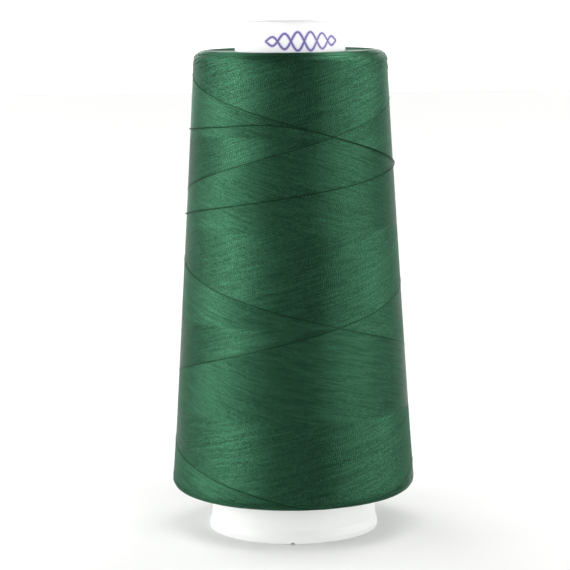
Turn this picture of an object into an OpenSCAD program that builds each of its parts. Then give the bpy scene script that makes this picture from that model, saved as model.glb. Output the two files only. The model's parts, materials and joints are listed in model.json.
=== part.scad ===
/* [Cone core] */
// Height of the moulded cone, from the face it stands on to the top of the nose
cone_h = 126; // [124:0.5:140]
// Outer diameter of the foot rim
foot_d = 42; // [40:0.5:50]
// Half angle of the cone in degrees
half_angle = 3.5; // [3:0.25:4]
// Thickness of the moulded wall
wall = 1.5; // [1.2:0.1:1.8]
// How far the foot rim stands out from the cone above it
rim_proud = 0.3; // [0.1:0.1:0.5]
// Height of the foot rim
rim_h = 3.2; // [2:0.2:4]
// Height over which the top of the rim runs out into the cone
rim_blend = 1.8; // [0.4:0.2:1.8]
// Diameter of the straight hole through the nose
throat_d = 21; // [19:0.5:21]
// Length of the straight part of that hole
throat_len = 3; // [2:0.5:5]

/* [Thread notch] */
// Width of the notch in the foot rim
notch_w = 1; // [0.8:0.1:2]
// Height of the notch, at least half its width
notch_h = 0.5; // [0.5:0.1:2]
// Angle of the notch round the axis, from the front towards +X
notch_angle = -1; // [-30:1:30]

/* [Thread package] */
// Height of the package's lower end face
package_z = 10.6; // [8:0.2:12]
// Length of the package along the axis
package_len = 108; // [100:1:110]
// Thickness of all the wound thread over the core
wound_t = 10.05; // [7:0.05:12]
// Thickness of the outer layers, modelled as their own shell
outer_t = 3; // [3:0.1:5]
// Radius of the rounded lower edge
low_edge_r = 2.3; // [1:0.1:2.8]
// Radius of the rounded upper edge
top_edge_r = 2.6; // [1:0.1:2.8]

/* [Last wraps] */
// Diameter of the sewing thread
thread_d = 0.25; // [0.2:0.01:0.3]
// Gap that keeps the last wraps clear of the package
thread_gap = 0.06; // [0.05:0.01:0.1]

/* [Label] */
// Thickness of the printed label round the nose
label_t = 0.12; // [0.1:0.01:0.2]
// Distance from the package's upper end face up to the label
label_lift = 0.2; // [0.1:0.1:1]
// Distance from the label up to the top of the nose
label_drop = 1; // [0.8:0.1:2]

/* [Hidden] */
$fn = 96;

taper = tan(half_angle);
package_top = package_z + package_len;
edge_steps = 6;
foot_edge_r = 0.4;
nose_edge_r = 0.6;
throat_edge_r = 0.5;
throat_z = cone_h - throat_edge_r - throat_len;
notch_cut = foot_d / 4;

// Angle from the front towards -X and height of points on the last wraps. The thread is straight between
// them when the package is unrolled, and winds one and a half times round it, lower at each step.
LAST_WRAPS = [[3, 102.8], [80, 100.2], [180, 96], [275, 91], [360, 85.2], [448, 79], [540, 72.4]];
wrap_rings = 72;
wrap_sides = 8;

// Outer radius of the bare cone at height z
function cone_r(z) = foot_d / 2 - rim_proud - z * taper;

// Points along an arc about [r, z] from angle a0 to angle a1, both measured from +r towards +z
function arc(r, z, radius, a0, a1) =
    [for (i = [0 : edge_steps]) let (a = a0 + (a1 - a0) * i / edge_steps) [r + radius * cos(a), z + radius * sin(a)]];

// Outline of a tapered shell round the cone, from t0 to t1 outside the bare cone and from z0 to z1
function shell_outline(t0, t1, z0, z1) =
    [[cone_r(z0) + t0, z0], [cone_r(z0) + t1, z0], [cone_r(z1) + t1, z1], [cone_r(z1) + t0, z1]];

// Height and radius of a point on the last wraps, as angle a goes from the first angle to the last one
function wrap_z(a) = lookup(a, LAST_WRAPS);
function wrap_r(a) = cone_r(wrap_z(a)) + wound_t + thread_gap + thread_d / 2;

// One ring of the thread's surface, square to its run round the package
function wrap_ring(a) =
    [for (s = [0 : wrap_sides - 1]) let (
        t = 360 * s / wrap_sides,
        r = wrap_r(a) + thread_d / 2 * cos(t)
    ) [-r * sin(a), -r * cos(a), wrap_z(a) + thread_d / 2 * sin(t)]];

// The moulded cone with its foot rim, rounded nose and straight throat
module cone_profile() {
    polygon(concat(
        arc(foot_d / 2 - foot_edge_r, foot_edge_r, foot_edge_r, -90, 0),
        [[foot_d / 2, rim_h - rim_blend], [cone_r(rim_h), rim_h]],
        arc(cone_r(cone_h) - nose_edge_r, cone_h - nose_edge_r, nose_edge_r, half_angle, 90),
        arc(throat_d / 2 + throat_edge_r, cone_h - throat_edge_r, throat_edge_r, 90, 180),
        [[throat_d / 2, throat_z], [cone_r(throat_z - wall) - wall, throat_z - wall], [cone_r(0) - wall, 0]]
    ));
}

// A round-topped slot through the wall at the front of the foot
module thread_notch() {
    rotate([0, 0, notch_angle]) {
        translate([0, -foot_d / 2, notch_h - notch_w / 2])
            rotate([90, 0, 0])
                cylinder(h = notch_cut, d = notch_w, center = true, $fn = 24);
        translate([0, -foot_d / 2, (notch_h - notch_w / 2 - wall) / 2])
            cube([notch_w, notch_cut, notch_h - notch_w / 2 + wall], center = true);
    }
}

// One-piece moulded winding cone
module cone_core() {
    color("white")
        difference() {
            rotate_extrude() cone_profile();
            thread_notch();
        }
}

// Printed label wrapped round the nose
module nose_label() {
    color("ghostwhite")
        rotate_extrude()
            polygon(shell_outline(0, label_t, package_top + label_lift, cone_h - label_drop));
}

// First part of the wound thread, next to the core
module inner_layers() {
    color([0.10, 0.30, 0.20])
        rotate_extrude()
            polygon(shell_outline(0, wound_t - outer_t, package_z, package_top));
}

// Outermost part of the wound thread, with rounded upper and lower edges
module outer_layers() {
    low_r = cone_r(package_z + low_edge_r) + wound_t - low_edge_r;
    top_r = cone_r(package_top - top_edge_r) + wound_t - top_edge_r;
    color([0.16, 0.42, 0.30])
        rotate_extrude()
            polygon(concat(
                [[cone_r(package_z) + wound_t - outer_t, package_z]],
                arc(low_r, package_z + low_edge_r, low_edge_r, -90, half_angle),
                arc(top_r, package_top - top_edge_r, top_edge_r, half_angle, 90),
                [[cone_r(package_top) + wound_t - outer_t, package_top]]
            ));
}

// The end of the thread, wound loosely round the package by hand
module last_wraps() {
    first = LAST_WRAPS[0][0];
    last = LAST_WRAPS[len(LAST_WRAPS) - 1][0];
    points = [for (i = [0 : wrap_rings - 1]) each wrap_ring(first + (last - first) * i / (wrap_rings - 1))];
    sides = [for (i = [0 : wrap_rings - 2], s = [0 : wrap_sides - 1]) let (
        here = i * wrap_sides,
        next = here + wrap_sides,
        s2 = (s + 1) % wrap_sides
    ) [here + s, here + s2, next + s2, next + s]];
    start_cap = [for (s = [wrap_sides - 1 : -1 : 0]) s];
    end_cap = [for (s = [0 : wrap_sides - 1]) (wrap_rings - 1) * wrap_sides + s];
    color([0.05, 0.20, 0.12])
        polyhedron(points, concat([start_cap], sides, [end_cap]));
}

cone_core();
nose_label();
inner_layers();
outer_layers();
last_wraps();
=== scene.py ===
"""The looks of a cone of sewing thread. Lengths are in millimetres until a mesh, light or camera is made."""
import json
import math

import bpy
import numpy as np
from mathutils import Matrix, Vector

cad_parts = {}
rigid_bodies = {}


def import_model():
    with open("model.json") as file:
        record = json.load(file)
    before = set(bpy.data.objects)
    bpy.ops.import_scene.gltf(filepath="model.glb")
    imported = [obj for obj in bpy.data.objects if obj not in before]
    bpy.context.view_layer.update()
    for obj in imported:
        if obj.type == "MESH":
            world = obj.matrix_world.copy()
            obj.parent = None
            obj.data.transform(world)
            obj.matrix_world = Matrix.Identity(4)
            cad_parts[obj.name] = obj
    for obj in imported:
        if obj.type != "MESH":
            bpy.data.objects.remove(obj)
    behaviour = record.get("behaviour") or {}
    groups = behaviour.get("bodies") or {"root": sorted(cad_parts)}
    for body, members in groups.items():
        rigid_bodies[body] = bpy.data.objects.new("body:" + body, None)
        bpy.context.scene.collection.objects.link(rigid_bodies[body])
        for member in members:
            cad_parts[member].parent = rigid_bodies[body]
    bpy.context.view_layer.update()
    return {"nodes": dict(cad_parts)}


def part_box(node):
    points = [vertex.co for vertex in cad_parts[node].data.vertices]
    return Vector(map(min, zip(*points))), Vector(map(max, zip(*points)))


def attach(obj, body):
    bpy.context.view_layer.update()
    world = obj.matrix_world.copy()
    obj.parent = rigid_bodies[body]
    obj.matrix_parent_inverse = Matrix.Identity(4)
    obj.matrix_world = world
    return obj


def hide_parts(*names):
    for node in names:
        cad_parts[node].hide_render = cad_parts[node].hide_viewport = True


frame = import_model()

MM = 0.001
TAU = 2 * math.pi

# ---------------------------------------------------------------- sizes of the cone and its thread

package_low, package_high = (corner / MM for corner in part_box("outer_layers"))
label_low, label_high = (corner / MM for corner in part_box("nose_label"))

HALF_ANGLE = math.radians(3.5)
TAPER = math.tan(HALF_ANGLE)
LOW_EDGE_R = 2.3
TOP_EDGE_R = 2.6
EDGE_POINTS = 40
WOUND_T = 10.05
THREAD_HALF_W = 0.16
THREAD_HALF_H = 0.065
STRAND_SIDES = 6
TWIST_SLIP = 4.0
TWIST_SLIP_STEPS = 14

WIDEST_Z = package_low.z + LOW_EDGE_R * (1 + math.sin(HALF_ANGLE))
WIDEST_R = package_high.x - LOW_EDGE_R * (1 - math.cos(HALF_ANGLE))


def side_radius(z):
    """Radius of the package's straight side, carried on to any height z."""
    return WIDEST_R - (z - WIDEST_Z) * TAPER


def core_radius(z):
    """Outer radius of the bare cone at height z."""
    return side_radius(z) - WOUND_T


# ---------------------------------------------------------------- camera

CAMERA_AT = Vector((-1.74, -541.8, 138.1))
CAMERA_AIM = Vector((-1.74, 0.0, 60.8))
CAMERA_LENS = 139.1
CAMERA_ROLL = math.radians(-0.48)


def add_camera():
    """The camera, a long lens a little above the cone."""
    camera = bpy.data.objects.new("camera", bpy.data.cameras.new("camera"))
    camera.data.lens = CAMERA_LENS
    camera.data.sensor_width = 36
    camera.location = CAMERA_AT * MM
    look = (CAMERA_AIM - CAMERA_AT).to_track_quat("-Z", "Y")
    camera.rotation_euler = (look.to_matrix() @ Matrix.Rotation(CAMERA_ROLL, 3, "Z")).to_euler()
    bpy.context.scene.collection.objects.link(camera)
    bpy.context.scene.camera = camera


add_camera()

# ---------------------------------------------------------------- meshes


def make_piece(name, vertices, faces, materials, indices=None, corner_map=None, crease=50):
    """A mesh object from millimetre vertices, with one material or one per face, shaded smooth over edges
    that turn by less than crease degrees. corner_map holds the corners' places in the map "strand"."""
    mesh = bpy.data.meshes.new(name)
    mesh.from_pydata([], [], [])
    faces = np.asarray(faces, np.int32)
    sides = faces.shape[1]
    mesh.vertices.add(len(vertices))
    mesh.vertices.foreach_set("co", (np.asarray(vertices) * MM).astype(np.float32).ravel())
    mesh.loops.add(faces.size)
    mesh.loops.foreach_set("vertex_index", faces.ravel())
    mesh.polygons.add(len(faces))
    mesh.polygons.foreach_set("loop_start", np.arange(0, faces.size, sides, dtype=np.int32))
    for material in materials:
        mesh.materials.append(material)
    if indices is not None:
        mesh.polygons.foreach_set("material_index", np.asarray(indices, np.int32))
    if corner_map is not None:
        strand_map = mesh.uv_layers.new(name="strand")
        strand_map.uv.foreach_set("vector", np.asarray(corner_map, np.float32).ravel())
    mesh.update(calc_edges=True)
    mesh.validate()
    mesh.shade_smooth()
    mesh.set_sharp_from_angle(angle=math.radians(crease))
    piece = bpy.data.objects.new(name, mesh)
    bpy.context.scene.collection.objects.link(piece)
    return piece


def tube(centres, across, up, half_w, half_h, sides=6, slip=0.0):
    """Vertices, quads and strand map of a tube with a flattened section, swept along centres. The map runs in
    millimetres along the tube, plus a slip, and in turns round it."""
    turn = (np.arange(sides) + 0.5) * TAU / sides
    rings = (
        centres[:, None, :]
        + half_w * np.cos(turn)[None, :, None] * across[:, None, :]
        + half_h * np.sin(turn)[None, :, None] * up[:, None, :]
    )
    here = np.arange(len(centres) - 1)[:, None] * sides
    side = np.arange(sides)[None, :]
    after = (side + 1) % sides
    quads = np.stack([here + side, here + after, here + sides + after, here + sides + side], axis=-1)
    along = np.concatenate([[0.0], np.cumsum(np.linalg.norm(np.diff(centres, axis=0), axis=1))]) + slip
    begin = np.broadcast_to(along[:-1, None], quads.shape[:2])
    end = np.broadcast_to(along[1:, None], quads.shape[:2])
    first = np.broadcast_to(side / sides, quads.shape[:2])
    last = first + 1 / sides
    corners = np.stack([begin, first, begin, last, end, last, end, first], axis=-1)
    return rings.reshape(-1, 3), quads.reshape(-1, 4), corners.reshape(-1, 2)


# ---------------------------------------------------------------- the package's outline


def package_outline():
    """Arc length s, radius, height and normal angle along the package's outline, from the lower end face over
    the side to the upper end face. On the side, s is 0 level with the lower end face."""
    low_z = WIDEST_Z
    top_z = package_high.z - TOP_EDGE_R * (1 - math.sin(HALF_ANGLE))
    low_centre = (side_radius(low_z) - LOW_EDGE_R * math.cos(HALF_ANGLE), package_low.z + LOW_EDGE_R)
    top_centre = (side_radius(top_z) - TOP_EDGE_R * math.cos(HALF_ANGLE), package_high.z - TOP_EDGE_R)
    low_turn = np.linspace(-math.pi / 2, HALF_ANGLE, EDGE_POINTS)
    top_turn = np.linspace(HALF_ANGLE, math.pi / 2, EDGE_POINTS)
    inner_low = core_radius(package_low.z)
    inner_top = core_radius(package_high.z)
    radius = np.concatenate([
        [inner_low],
        low_centre[0] + LOW_EDGE_R * np.cos(low_turn),
        top_centre[0] + TOP_EDGE_R * np.cos(top_turn),
        [inner_top],
    ])
    height = np.concatenate([
        [package_low.z],
        low_centre[1] + LOW_EDGE_R * np.sin(low_turn),
        top_centre[1] + TOP_EDGE_R * np.sin(top_turn),
        [package_high.z],
    ])
    angle = np.concatenate([[-math.pi / 2], low_turn, top_turn, [math.pi / 2]])
    s = np.concatenate([[0], np.cumsum(np.hypot(np.diff(radius), np.diff(height)))])
    s += (low_z - package_low.z) / math.cos(HALF_ANGLE) - s[len(low_turn)]
    return s, radius, height, angle


OUTLINE = package_outline()
END_FACE = OUTLINE[0][-1] - OUTLINE[0][-2]
EDGE_SWELL = 0.32
SWELL_REACH = 9.0
SWELL_FADE = 2.0
LOW_FADE_FROM = -1.3


def edge_swell(s):
    """How far the package stands out towards its two ends, where the reversals pack the thread harder."""
    past_top = s - OUTLINE[0][-1] + END_FACE
    from_low = np.clip(s, 0, None)
    from_top = np.clip(-past_top, 0, None)
    fade = np.clip(1 - past_top / SWELL_FADE, 0, 1) * np.clip(1 + (s - LOW_FADE_FROM) / SWELL_FADE, 0, 1)
    return EDGE_SWELL * fade * (np.exp(-from_low / SWELL_REACH) + np.exp(-from_top / SWELL_REACH))


def on_package(s, azimuth, lift):
    """Points at arc length s and an azimuth counted from the front towards +X, lifted off the outline, and
    the outward normals there."""
    radius, height, angle = (np.interp(s, OUTLINE[0], column) for column in OUTLINE[1:])
    out_r = np.cos(angle)
    out_z = np.sin(angle)
    lift = lift + edge_swell(s)
    r = radius + lift * out_r
    points = np.stack([r * np.sin(azimuth), -r * np.cos(azimuth), height + lift * out_z], axis=-1)
    normals = np.stack([out_r * np.sin(azimuth), -out_r * np.cos(azimuth), out_z], axis=-1)
    return points, normals


def square_frame(centres, up):
    """Directions across and up that are square to a line through centres, at each point of it."""
    along = np.gradient(centres, axis=0)
    along /= np.linalg.norm(along, axis=1)[:, None]
    up = up - along * np.sum(up * along, axis=1)[:, None]
    up /= np.linalg.norm(up, axis=1)[:, None]
    return np.cross(up, along), up


def thread_on_package(s, azimuth, lift):
    """A thread laid along the package. Its twist is a little uneven."""
    centres, up = on_package(s, azimuth, lift)
    slip = TWIST_SLIP * smooth_noise(rng, len(s), TWIST_SLIP_STEPS)
    return tube(centres, *square_frame(centres, up), THREAD_HALF_W, THREAD_HALF_H, STRAND_SIDES, slip)


# ---------------------------------------------------------------- winding the thread

LOOPS = 180
TURNS_EACH_WAY = 2.5
LEAD = 45.3 / math.cos(HALF_ANGLE)
SLOPE = LEAD / TAU
RISING_AT_FRONT = (96.0 - package_low.z) / math.cos(HALF_ANGLE)
FALLING_AT_FRONT = (102.2 - package_low.z) / math.cos(HALF_ANGLE)
TOP_APEX = (RISING_AT_FRONT + FALLING_AT_FRONT + LEAD) / 2
LOW_APEX = TOP_APEX - TURNS_EACH_WAY * LEAD
START_AZIMUTH = (LOW_APEX - RISING_AT_FRONT) / SLOPE

TOP_REVERSAL = 107.9
LOW_REVERSAL = 0.4
REVERSAL_SPREAD = 1.25
SAMPLES = 720
MESH_STEP = 10
ROW = 0.05
STEP_HEIGHT = 0.10
FOOTPRINT = 3
FOOTPRINT_HALF_W = THREAD_HALF_W * 1.05
SETTLE_REACH = 3
LEVEL_REACH = 1.0
BULK = 0.8
WANDER = 0.02
WANDER_STEP = SAMPLES // 3
STRAY_WANDER = 0.07
STRAY_SHARE = 0.10
PROUD_LIMIT = 0.045
SUNK_LIMIT = 0.12
UNEVEN = 0.008
NEWEST_PROUD = 0.06
NEWEST_TURNS = 5
PIECES = 4


def smooth_noise(rng, count, knot_step):
    """Random values between about -1 and 1 that change smoothly over knot_step samples."""
    knots = rng.uniform(-1, 1, count // knot_step + 3)
    where = np.arange(count) / knot_step
    first = where.astype(int)
    blend = 0.5 - 0.5 * np.cos(math.pi * (where - first))
    return knots[first] * (1 - blend) + knots[first + 1] * blend


def thread_route(rng, loops):
    """Azimuth and arc length of the continuous thread over a number of double traverses, newest last. The
    guide's reversals are eased over a part of a turn, which differs a little each time."""
    per_loop = int(2 * TURNS_EACH_WAY * SAMPLES)
    count = loops * per_loop
    step = np.arange(count)
    loop = step // per_loop
    run = (step % per_loop) / per_loop * 2 * TURNS_EACH_WAY * TAU
    half = TURNS_EACH_WAY * TAU
    azimuth = START_AZIMUTH + run + TAU * (step / per_loop - loops) / LOOPS
    s = np.where(run < half, LOW_APEX + SLOPE * run, TOP_APEX - SLOPE * (run - half))
    top_peak = TOP_REVERSAL + REVERSAL_SPREAD * rng.uniform(-1, 1, loops)[loop]
    top_ease = 4 * (TOP_APEX - top_peak) / SLOPE
    x = run - half
    s = np.where(np.abs(x) < top_ease / 2, TOP_APEX - SLOPE * (top_ease / 4 + x**2 / top_ease), s)
    joint = loop + (run > half)
    low_peak = LOW_REVERSAL + REVERSAL_SPREAD * rng.uniform(-1, 1, loops + 1)[joint]
    low_ease = 4 * (low_peak - LOW_APEX) / SLOPE
    x = np.where(run > half, run - 2 * half, run)
    s = np.where(np.abs(x) < low_ease / 2, LOW_APEX + SLOPE * (low_ease / 4 + x**2 / low_ease), s)
    wander = np.where(rng.random(loops) < STRAY_SHARE, STRAY_WANDER, WANDER)[loop]
    s = s + wander * smooth_noise(rng, count, WANDER_STEP)
    return azimuth, s


def blurred(values, reach):
    """Running mean over 2 * reach + 1 samples."""
    padded = np.pad(values, reach, mode="edge")
    total = np.cumsum(np.concatenate([[0.0], padded]))
    width = 2 * reach + 1
    return (total[width:] - total[:-width]) / width


class Surface:
    """The height of what is wound so far, over a grid of arc length by azimuth."""

    def __init__(self):
        self.low = OUTLINE[0][0]
        rows = int((OUTLINE[0][-1] - self.low) / ROW) + 1
        s = self.low + ROW * np.arange(rows)[:, None]
        azimuth = TAU * np.arange(SAMPLES)[None, :] / SAMPLES
        rising_age = ((s - SLOPE * azimuth - RISING_AT_FRONT) / LEAD) % 1
        falling_age = ((FALLING_AT_FRONT - s - SLOPE * azimuth) / LEAD) % 1
        self.height = -STEP_HEIGHT * (rising_age + falling_age)
        self.offset = np.arange(-FOOTPRINT, FOOTPRINT + 1)[:, None]
        across = self.offset * ROW / FOOTPRINT_HALF_W
        self.section = THREAD_HALF_H * np.sqrt(1 - across**2)
        self.weight = (1 - across**2) ** 2 / np.sum((1 - across**2) ** 2)

    def cells(self, s, azimuth):
        """Rows and columns of the grid that a thread's footprint covers at each of its points."""
        rows = np.rint((s - self.low) / ROW).astype(int)[None, :] + self.offset
        rows = np.clip(rows, 0, len(self.height) - 1)
        columns = np.rint(azimuth / TAU * SAMPLES).astype(int) % SAMPLES
        return rows, np.broadcast_to(columns[None, :], rows.shape)

    def lay(self, s, azimuth):
        """Rests a stretch of thread on what is there, adds it, and returns the height of its centre. The
        thread is soft, so it settles on the mean height under it."""
        cells = self.cells(s, azimuth)
        under = np.sum(self.height[cells] * self.weight, axis=0)
        centre = blurred(under, SETTLE_REACH) + THREAD_HALF_H * BULK
        self.height[cells] = np.maximum(self.height[cells], centre[None, :] + self.section)
        return centre

    def mean_height(self):
        """The mean height of the top of the winding at each row, smoothed along the meridian."""
        return blurred(self.height.mean(axis=1), int(LEVEL_REACH / ROW))


def wind(rng):
    """Winds one hidden cycle and then the cycle that shows. Returns the visible thread's azimuth, arc length
    and lift, the wound surface and its mean level. The newest turns stand a little proud."""
    azimuth, s = thread_route(rng, 2 * LOOPS)
    surface = Surface()
    half_loop = int(TURNS_EACH_WAY * SAMPLES)
    lift = np.empty(len(s))
    for first in range(0, len(s), half_loop):
        part = slice(first, first + half_loop)
        lift[part] = surface.lay(s[part], azimuth[part])
    shown = slice(len(s) // 2, None)
    level = surface.mean_height()
    rows = np.clip(((s[shown] - surface.low) / ROW).astype(int), 0, len(level) - 1)
    lift = lift[shown] - level[rows] - THREAD_HALF_H
    limit = np.where(lift > 0, PROUD_LIMIT, SUNK_LIMIT)
    lift = limit * np.tanh(lift / limit)
    lift += UNEVEN * smooth_noise(rng, len(lift), MESH_STEP)
    turns_left = (len(lift) - np.arange(len(lift))) / SAMPLES
    lift += NEWEST_PROUD * np.clip(NEWEST_TURNS + 0.5 - turns_left, 0, 1)
    return azimuth[shown], s[shown], lift, surface, level


# ---------------------------------------------------------------- materials


GLOSS_SPREAD = 0.2


def plain_material(name, colour, roughness, **values):
    """A Principled material. The names of other values have underscores for spaces."""
    material = bpy.data.materials.new(name)
    material.use_nodes = True
    shader = material.node_tree.nodes["Principled BSDF"]
    shader.inputs["Base Color"].default_value = (*colour, 1)
    shader.inputs["Roughness"].default_value = roughness
    for socket, value in values.items():
        shader.inputs[socket.replace("_", " ")].default_value = value
    return material


def mottled_material(name, colour, roughness, spread, grain, relief_depth, **values):
    """A material whose colour varies by the share spread, and its surface by relief_depth, over about grain
    millimetres, as moulded, printed or wound stuff does."""
    material = plain_material(name, colour, roughness, **values)
    nodes, links = material.node_tree.nodes, material.node_tree.links
    shader = nodes["Principled BSDF"]
    place = nodes.new("ShaderNodeTexCoord")
    mottle = nodes.new("ShaderNodeTexNoise")
    mottle.inputs["Scale"].default_value = 1 / grain / MM
    mottle.inputs["Detail"].default_value = 3
    tones = nodes.new("ShaderNodeMix")
    tones.data_type = "RGBA"
    tones.inputs["A"].default_value = (*(np.array(colour) * (1 - spread)), 1)
    tones.inputs["B"].default_value = (*np.minimum(np.array(colour) * (1 + spread), 1), 1)
    gloss = nodes.new("ShaderNodeMapRange")
    gloss.inputs["To Min"].default_value = roughness * (1 - GLOSS_SPREAD)
    gloss.inputs["To Max"].default_value = roughness * (1 + GLOSS_SPREAD)
    relief = nodes.new("ShaderNodeBump")
    relief.inputs["Distance"].default_value = relief_depth * MM
    links.new(place.outputs["Object"], mottle.inputs["Vector"])
    links.new(mottle.outputs["Fac"], tones.inputs["Factor"])
    links.new(tones.outputs["Result"], shader.inputs["Base Color"])
    links.new(mottle.outputs["Fac"], gloss.inputs["Value"])
    links.new(gloss.outputs["Result"], shader.inputs["Roughness"])
    links.new(mottle.outputs["Fac"], relief.inputs["Height"])
    links.new(relief.outputs["Normal"], shader.inputs["Normal"])
    return material


EDGE_TINT = (0.55, 0.62, 0.58, 1)
THREAD_ROUGHNESS = 0.42
THREAD_TONES = (0.83, 0.94, 1.06, 1.17)
# The newest turns get a darker green: painted shade that stands in for the shadow these proud strands cast.
# The thread itself is one green.
NEWEST_PAINTED_SHADE_TONE = 0.58
# The loose end gets a darker green still: painted shade that stands in for the shadow it casts.
LOOSE_PAINTED_SHADE_TONE = 0.42
GREEN = np.array((0.0208, 0.074, 0.0400))
PLIES = 2
TWIST_PITCH = 1.05
PLY_DEPTH = 0.007
DYE_GRAIN = 0.45
DYE_SHARE = 0.7
# How much painted shade darkens the grooves between the plies.
GROOVE_SHADE_SHARE = 0.7
TONE_SPREAD = 0.75


def thread_material(name, brightness):
    """Lustrous two-ply thread: the plies wind round the strand, with painted shade that darkens the grooves
    between them, the dye takes a little unevenly, and the gloss is stretched along the strand."""
    material = plain_material(
        name,
        GREEN * brightness,
        THREAD_ROUGHNESS,
        Metallic=0.92,
        Specular_Tint=EDGE_TINT,
        Anisotropic=1.0,
        Anisotropic_Rotation=0.25,
    )
    nodes, links = material.node_tree.nodes, material.node_tree.links
    shader = nodes["Principled BSDF"]
    strand = nodes.new("ShaderNodeUVMap")
    strand.uv_map = "strand"
    turned = nodes.new("ShaderNodeVectorMath")
    turned.operation = "DOT_PRODUCT"
    turned.inputs[1].default_value = (TAU * PLIES / TWIST_PITCH, TAU * PLIES, 0)
    ply = nodes.new("ShaderNodeMath")
    ply.operation = "SINE"
    place = nodes.new("ShaderNodeTexCoord")
    dye = nodes.new("ShaderNodeTexNoise")
    dye.inputs["Scale"].default_value = 1 / DYE_GRAIN / MM
    dye.inputs["Detail"].default_value = 1
    # Painted shade: the colour darkens where the plies' sine is low, in the grooves between them.
    groove_shade = nodes.new("ShaderNodeMapRange")
    groove_shade.inputs["From Min"].default_value = -1
    groove_shade.inputs["To Min"].default_value = 0.5 - (GROOVE_SHADE_SHARE + DYE_SHARE) / 2
    groove_shade.inputs["To Max"].default_value = 0.5 + (GROOVE_SHADE_SHARE - DYE_SHARE) / 2
    tone = nodes.new("ShaderNodeMath")
    tone.operation = "MULTIPLY_ADD"
    tone.inputs[1].default_value = DYE_SHARE
    colours = nodes.new("ShaderNodeMix")
    colours.data_type = "RGBA"
    colours.inputs["A"].default_value = (*(GREEN * brightness * (1 - TONE_SPREAD)), 1)
    colours.inputs["B"].default_value = (*(GREEN * brightness * (1 + TONE_SPREAD)), 1)
    lay = nodes.new("ShaderNodeTangent")
    lay.direction_type = "UV_MAP"
    lay.uv_map = "strand"
    relief = nodes.new("ShaderNodeBump")
    relief.inputs["Distance"].default_value = PLY_DEPTH * MM
    links.new(strand.outputs["UV"], turned.inputs[0])
    links.new(turned.outputs["Value"], ply.inputs[0])
    links.new(ply.outputs["Value"], groove_shade.inputs["Value"])
    links.new(place.outputs["Object"], dye.inputs["Vector"])
    links.new(dye.outputs["Fac"], tone.inputs[0])
    links.new(groove_shade.outputs["Result"], tone.inputs[2])
    links.new(tone.outputs["Value"], colours.inputs["Factor"])
    links.new(colours.outputs["Result"], shader.inputs["Base Color"])
    links.new(ply.outputs["Value"], relief.inputs["Height"])
    links.new(relief.outputs["Normal"], shader.inputs["Normal"])
    links.new(lay.outputs["Tangent"], shader.inputs["Tangent"])
    return material


thread_materials = [thread_material(f"thread_green_{i + 1}", tone) for i, tone in enumerate(THREAD_TONES)]
# The darker green of the newest turns: painted shade.
newest_painted_shade_material = thread_material("thread_green_newest_painted_shade", NEWEST_PAINTED_SHADE_TONE)
# The darker green of the loose end: painted shade.
loose_painted_shade_material = thread_material("thread_green_loose_painted_shade", LOOSE_PAINTED_SHADE_TONE)
bed_material = mottled_material("thread_bed", GREEN * 0.6, 0.4, 0.5, 0.6, 0.03, Metallic=0.6)
core_material = mottled_material("core_plastic", (0.83, 0.84, 0.83), 0.35, 0.012, 5.0, 0.02)
label_material = mottled_material("label_film", (0.86, 0.86, 0.87), 0.4, 0.01, 3.0, 0.01)
halo_material = mottled_material("ink_pale", (0.60, 0.55, 0.83), 0.4, 0.08, 0.5, 0.004)
ink_material = mottled_material("ink_violet", (0.11, 0.08, 0.26), 0.35, 0.15, 0.5, 0.004)

# ---------------------------------------------------------------- the thread

SHADE_RINGS = 2

rng = np.random.default_rng(7)
thread_azimuth, thread_s, thread_lift, surface, level = wind(rng)


def strand_shades(face_count):
    """Which green each face of a strand has. It changes every few rings."""
    stretch = np.arange(face_count) // (STRAND_SIDES * SHADE_RINGS)
    return rng.integers(0, len(thread_materials), stretch[-1] + 1)[stretch]


def add_winding():
    """The visible cycle of the winding as four continuous lengths of thread, oldest first. The newest turns
    have a darker green of their own, painted shade that stands in for the shadow these proud strands cast, so
    that they read as lines."""
    count = len(thread_s) // PIECES
    newest_painted_shade_faces = NEWEST_TURNS * STRAND_SIDES * SAMPLES // MESH_STEP
    materials = [*thread_materials, newest_painted_shade_material]
    names = ["winding_oldest", "winding_older", "winding_newer", "winding_newest"]
    for i, name in enumerate(names):
        part = slice(i * count, min((i + 1) * count + 1, len(thread_s)), MESH_STEP)
        strand = thread_on_package(thread_s[part], thread_azimuth[part], thread_lift[part])
        vertices, faces, corner_map = strand
        shades = strand_shades(len(faces))
        if i == PIECES - 1:
            # The newest turns take the darker green, painted shade for the shadow they cast.
            shades[-newest_painted_shade_faces:] = len(thread_materials)
        piece = make_piece(name, vertices, faces, materials, shades, corner_map)
        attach(piece, "root")
        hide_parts("outer_layers")


BED_DEPTH = 0.2
BED_STEP = 3.0
BED_SEGMENTS = 180


def add_bed():
    """The older layers just under the visible ones, as a turned body."""
    bed_s = np.union1d(OUTLINE[0], np.arange(0, OUTLINE[0][-1], BED_STEP))
    rings = len(bed_s)
    around = np.arange(BED_SEGMENTS) * TAU / BED_SEGMENTS
    points, _ = on_package(np.repeat(bed_s, BED_SEGMENTS), np.tile(around, rings), -BED_DEPTH)
    ring = np.arange(rings)[:, None]
    after_ring = (ring + 1) % rings
    step = np.arange(BED_SEGMENTS)[None, :]
    after = (step + 1) % BED_SEGMENTS
    faces = np.stack([
        ring * BED_SEGMENTS + step,
        ring * BED_SEGMENTS + after,
        after_ring * BED_SEGMENTS + after,
        after_ring * BED_SEGMENTS + step,
    ], axis=-1)
    piece = make_piece("older_layers", points, faces.reshape(-1, 4), [bed_material])
    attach(piece, "root")
    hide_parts("outer_layers")


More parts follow.
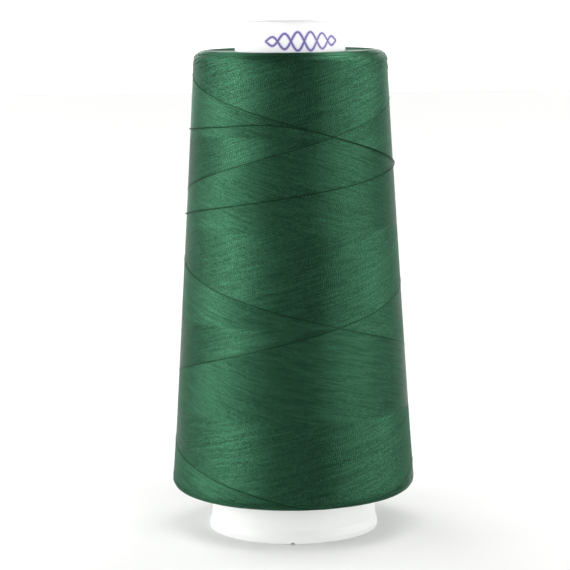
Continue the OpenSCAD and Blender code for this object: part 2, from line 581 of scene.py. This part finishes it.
# Angle from the front towards -X, and height, of points on the thread's end: first the last machine-wound
# turn, which is already loose, and from 3 degrees on the hand-wound wraps, as in the CAD model
LAST_WRAPS = (
    (-180, 79.5),
    (-120, 87.1),
    (-60, 94.65),
    (-6, 101.45),
    (3, 102.8),
    (80, 100.2),
    (180, 96),
    (275, 91),
    (360, 85.2),
    (448, 79),
    (540, 72.4),
)
WRAP_STEP = 0.35
WRAP_SMOOTHING = 30
GROUND_REACH = 6
WRAP_CLEAR = 0.02
PLY_R = 0.07
PLY_ORBIT = 0.055
DIP_LENGTH = 4.0
DIP_DEPTH = 0.35


def wrap_route():
    """Azimuth, arc length and lift of the last wraps, laid over whatever thread is under them, with both
    ends tucked in."""
    turned, height = (np.array(column, float) for column in zip(*LAST_WRAPS))
    reach = np.radians(turned) * side_radius(height)
    count = int((reach[-1] - reach[0]) / WRAP_STEP)
    along = np.linspace(reach[0], reach[-1], count)
    wrap_azimuth = -np.radians(np.interp(along, reach, turned))
    z = np.interp(along, reach, height)
    window = 2 * WRAP_SMOOTHING + 1
    padded = np.pad(z, WRAP_SMOOTHING, mode="reflect", reflect_type="odd")
    z = np.convolve(padded, np.full(window, 1 / window), mode="valid")
    wrap_s = (z - package_low.z) / math.cos(HALF_ANGLE)
    rows, columns = surface.cells(wrap_s, wrap_azimuth % TAU)
    ground = (surface.height[rows, columns] - level[rows]).max(axis=0)
    ground = np.clip(blurred(ground, GROUND_REACH), 0, PROUD_LIMIT)
    from_end = np.minimum(along - along[0], along[-1] - along)
    dip = DIP_DEPTH * np.clip(1 - from_end / DIP_LENGTH, 0, 1) ** 2
    return wrap_azimuth, wrap_s, ground + NEWEST_PROUD + WRAP_CLEAR + PLY_R + PLY_ORBIT / 2 - dip


def add_last_wraps():
    """The loose end wound on by hand, as two plies twisted round each other. Its green is darker than the
    rest: painted shade that stands in for the shadow of this proud end.
    """
    wrap_azimuth, wrap_s, wrap_lift = wrap_route()
    centres, out = on_package(wrap_s, wrap_azimuth, wrap_lift)
    across, up = square_frame(centres, out)
    along = np.concatenate([[0.0], np.cumsum(np.linalg.norm(np.diff(centres, axis=0), axis=1))])
    parts = []
    for ply in range(PLIES):
        phase = TAU * (along / TWIST_PITCH + ply / PLIES)
        offset = across * np.cos(phase)[:, None] + up * np.sin(phase)[:, None]
        parts.append(tube(centres + PLY_ORBIT * offset, across, up, PLY_R, PLY_R, STRAND_SIDES))
    vertices = np.concatenate([part[0] for part in parts])
    faces = np.concatenate([part[1] + i * len(parts[0][0]) for i, part in enumerate(parts)])
    corner_map = np.concatenate([part[2] for part in parts])
    # The loose end's darker green is painted shade.
    materials = [loose_painted_shade_material]
    piece = make_piece("hand_wound_end", vertices, faces, materials, None, corner_map, crease=80)
    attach(piece, "root")
    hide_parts("last_wraps")


FACE_PITCH = 0.17
FACE_WANDER = 0.22
FACE_WANDER_TURN = 50.0
FACE_STEP = 5.0
FACE_UNEVEN_STEPS = 5
FACE_INSET = 0.3
FACE_EDGE = 1.6


def add_face_turns(name, first_s, last_s):
    """The turns that show on an end face of the package: reversals of older layers, as one thread that runs
    in over the face and out again."""
    turns = int(abs(last_s - first_s) / FACE_PITCH)
    count = int(turns * 360 / FACE_STEP)
    inwards = np.linspace(first_s, last_s, count)
    where = np.concatenate([inwards, inwards[::-1]])
    where = where + FACE_WANDER * smooth_noise(rng, 2 * count, int(FACE_WANDER_TURN / FACE_STEP))
    turn = np.radians(FACE_STEP) * np.arange(2 * count)
    rise = np.repeat([-THREAD_HALF_H, 0.0], count) + UNEVEN * smooth_noise(rng, 2 * count, FACE_UNEVEN_STEPS)
    vertices, faces, corner_map = thread_on_package(where, turn, rise)
    piece = make_piece(name, vertices, faces, thread_materials, strand_shades(len(faces)), corner_map)
    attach(piece, "root")
    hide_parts("outer_layers")


add_winding()
add_face_turns("top_face_turns", OUTLINE[0][-1] - FACE_INSET, OUTLINE[0][-1] - END_FACE - FACE_EDGE)
add_face_turns("low_face_turns", OUTLINE[0][0] + FACE_INSET, OUTLINE[0][1] + FACE_EDGE)
add_bed()
add_last_wraps()

# ---------------------------------------------------------------- the label

LABEL_T = 0.1
LABEL_GAP = 0.005
LABEL_LAP = math.radians(9)
LAP_EASE = math.radians(5)
LAP_RISE = LABEL_T * 1.1
LABEL_STEPS = 240
MOTIF_FROM = math.radians(-27)
MOTIF_TO = math.radians(56)
MOTIF_Z = 121.4
MOTIF_HEIGHT = 2.25
MOTIF_WAVES = 6
MOTIF_FULLNESS = 0.6
HALO_HALF_W = 0.52
STROKE_HALF_W = 0.25
INK_T = 0.012
INK_STEPS = 260


def on_nose(z, azimuth, lift):
    """Points on the nose at height z, lifted off the bare cone, and the outward normals there."""
    radius = core_radius(z) + lift / math.cos(HALF_ANGLE)
    points = np.stack([radius * np.sin(azimuth), -radius * np.cos(azimuth), z + 0 * azimuth], axis=-1)
    out = math.cos(HALF_ANGLE)
    rise = math.sin(HALF_ANGLE) + 0 * azimuth
    normals = np.stack([out * np.sin(azimuth), -out * np.cos(azimuth), rise], axis=-1)
    return points, normals


label_pieces = []


def add_label_piece(name, vertices, faces, material):
    """A piece of the label, of one material."""
    piece = make_piece(name, vertices, faces, [material], crease=40)
    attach(piece, "root")
    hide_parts("nose_label")
    label_pieces.append(piece)


def add_label_band():
    """The film round the nose: one strip whose end laps over its start at the back."""
    turn = np.linspace(-math.pi, math.pi + LABEL_LAP, LABEL_STEPS)
    over = np.clip((turn - math.pi + LAP_EASE) / LAP_EASE, 0, 1)
    inner = LAP_RISE * over * over * (3 - 2 * over)
    section = (
        (label_low.z, LABEL_GAP),
        (label_high.z, LABEL_GAP),
        (label_high.z, LABEL_T),
        (label_low.z, LABEL_T),
    )
    corners = [on_nose(z, turn, inner + layer)[0] for z, layer in section]
    vertices = np.stack(corners, axis=1).reshape(-1, 3)
    here = np.arange(LABEL_STEPS - 1)[:, None] * 4
    side = np.arange(4)[None, :]
    after = (side + 1) % 4
    faces = np.stack([here + side, here + after, here + 4 + after, here + 4 + side], axis=-1).reshape(-1, 4)
    ends = np.array([[3, 2, 1, 0], [0, 1, 2, 3]])
    ends[1] += 4 * (LABEL_STEPS - 1)
    add_label_piece("nose_label_film", vertices, np.concatenate([faces, ends]), label_material)


def add_ink(name, half_w, lift, material):
    """Two waves of one width that cross like the plies of a thread and meet at both ends."""
    t = np.linspace(0, 1, INK_STEPS)
    azimuth_along = MOTIF_FROM + (MOTIF_TO - MOTIF_FROM) * t
    swing = MOTIF_HEIGHT * np.sin(math.pi * t) ** MOTIF_FULLNESS
    for ply, sign in (("a", 1), ("b", -1)):
        z = MOTIF_Z + sign * swing * np.sin(MOTIF_WAVES * math.pi * t)
        centres, out = on_nose(z, azimuth_along, LABEL_T + lift)
        across, up = square_frame(centres, out)
        vertices, faces, _ = tube(centres, across, up, half_w, INK_T)
        add_label_piece(f"{name}_{ply}", vertices, faces, material)


add_label_band()
add_ink("motif_halo", HALO_HALF_W, 0.0, halo_material)
add_ink("motif_stroke", STROKE_HALF_W, INK_T, ink_material)

for node, material in (
    ("cone_core", core_material),
    ("inner_layers", bed_material),
):
    materials = frame["nodes"][node].data.materials
    materials.clear()
    materials.append(material)

# ---------------------------------------------------------------- stage and light

# The walls of a light tent as soft discs: azimuth from the front towards +X, elevation, radius, all in
# degrees, and brightness. The front, where the camera looks in, is dim. The brightnesses started as a
# least-squares fit to the look of the thread, and were then changed and rounded to halves.
TENT = (
    (-30, 8, 16, 1.5),
    (-50, 8, 16, 2.0),
    (-70, 8, 16, 2.5),
    (-90, 8, 16, 2.5),
    (-115, 8, 16, 3.0),
    (-150, 8, 16, 3.0),
    (180, 5, 16, 1.5),
    (150, 8, 16, 2.5),
    (115, 8, 16, 2.0),
    (90, 8, 16, 0.5),
    (70, 8, 16, 1.5),
    (50, 8, 16, 2.0),
    (90, 0, 7, 7.5),
    (70, 0, 7, 10.0),
    (50, 0, 7, 4.0),
    (-70, 0, 7, 4.0),
    (-80, 28, 11, 3.0),
    (45, 45, 18, 1.0),
    (135, 45, 18, 2.0),
    (-135, 45, 18, 2.5),
    (0, 80, 18, 1.0),
    (0, 8, 16, 0.5),
)
DISC_EDGE = 0.5
FLOOR_HALF = 2000
LAMP_AIM = Vector((0, 0, 60))


def towards(azimuth, elevation):
    """The direction at an azimuth from the front towards +X and an elevation, in degrees."""
    level = math.cos(math.radians(elevation))
    turned = math.radians(azimuth)
    return Vector((level * math.sin(turned), -level * math.cos(turned), math.sin(math.radians(elevation))))


def add_floor():
    """The white table top."""
    far = FLOOR_HALF * MM
    mesh = bpy.data.meshes.new("floor")
    mesh.from_pydata([(-far, -far, 0), (far, -far, 0), (far, far, 0), (-far, far, 0)], [], [(0, 1, 2, 3)])
    mesh.materials.append(plain_material("floor", (0.92, 0.92, 0.91), 0.6))
    floor = bpy.data.objects.new("floor", mesh)
    bpy.context.scene.collection.objects.link(floor)
    return floor


def add_lamp(name, azimuth, elevation, distance, size, power, only):
    """A round soft box, its distance and size in metres, aimed at the middle of the cone. It lights just some
    objects."""
    light = bpy.data.lights.new(name, "AREA")
    light.shape = "DISK"
    light.size = size
    light.energy = power
    lamp = bpy.data.objects.new(name, light)
    direction = towards(azimuth, elevation)
    lamp.location = direction * distance + LAMP_AIM * MM
    lamp.rotation_euler = direction.to_track_quat("Z", "Y").to_euler()
    bpy.context.scene.collection.objects.link(lamp)
    lit = bpy.data.collections.new(name + "_lights")
    for thing in only:
        lit.objects.link(thing)
    lamp.light_linking.receiver_collection = lit


def add_world():
    """The tent: its discs added up."""
    world = bpy.data.worlds.new("tent")
    bpy.context.scene.world = world
    world.use_nodes = True
    nodes, links = world.node_tree.nodes, world.node_tree.links
    background = nodes["Background"]
    background.inputs["Color"].default_value = (1, 1, 1, 1)
    direction = nodes.new("ShaderNodeTexCoord")
    total = None
    for azimuth, elevation, radius, brightness in TENT:
        nearness = nodes.new("ShaderNodeVectorMath")
        nearness.operation = "DOT_PRODUCT"
        nearness.inputs[1].default_value = towards(azimuth, elevation)
        ramp = nodes.new("ShaderNodeMapRange")
        ramp.interpolation_type = "SMOOTHSTEP"
        ramp.inputs["From Min"].default_value = math.cos(math.radians((1 + DISC_EDGE) * radius))
        ramp.inputs["From Max"].default_value = math.cos(math.radians((1 - DISC_EDGE) * radius))
        ramp.inputs["To Max"].default_value = brightness
        links.new(direction.outputs["Generated"], nearness.inputs[0])
        links.new(nearness.outputs["Value"], ramp.inputs["Value"])
        if total is None:
            total = ramp.outputs["Result"]
            continue
        both = nodes.new("ShaderNodeMath")
        links.new(total, both.inputs[0])
        links.new(ramp.outputs["Result"], both.inputs[1])
        total = both.outputs["Value"]
    links.new(total, background.inputs["Strength"])


def is_thread(thing):
    """Whether an object is a mesh whose first material is a thread's."""
    return thing.type == "MESH" and "thread" in thing.data.materials[0].name


thread_pieces = [thing for thing in bpy.data.objects if is_thread(thing)]
white_parts = [frame["nodes"]["cone_core"], *label_pieces]
floor = add_floor()
add_world()
add_lamp("high_box", 110, 60, 0.8, 0.4, 4.6, thread_pieces)
add_lamp("left_box_front", -52, 14, 0.9, 0.52, 1.5, thread_pieces)
add_lamp("left_box_middle", -76, 26, 0.9, 0.52, 2.2, thread_pieces)
add_lamp("left_box_back", -96, 26, 0.9, 0.52, 2.4, thread_pieces)
add_lamp("right_box", 96, 34, 0.9, 0.6, 1.5, thread_pieces)
add_lamp("front_fill", 12, 34, 0.9, 0.6, 0.8, white_parts)
add_lamp("label_fill", 10, 10, 0.9, 0.6, 1.0, label_pieces)
add_lamp("floor_wash", 0, 60, 1.5, 1.6, 9.0, [floor])
bpy.context.scene.view_settings.view_transform = "Standard"
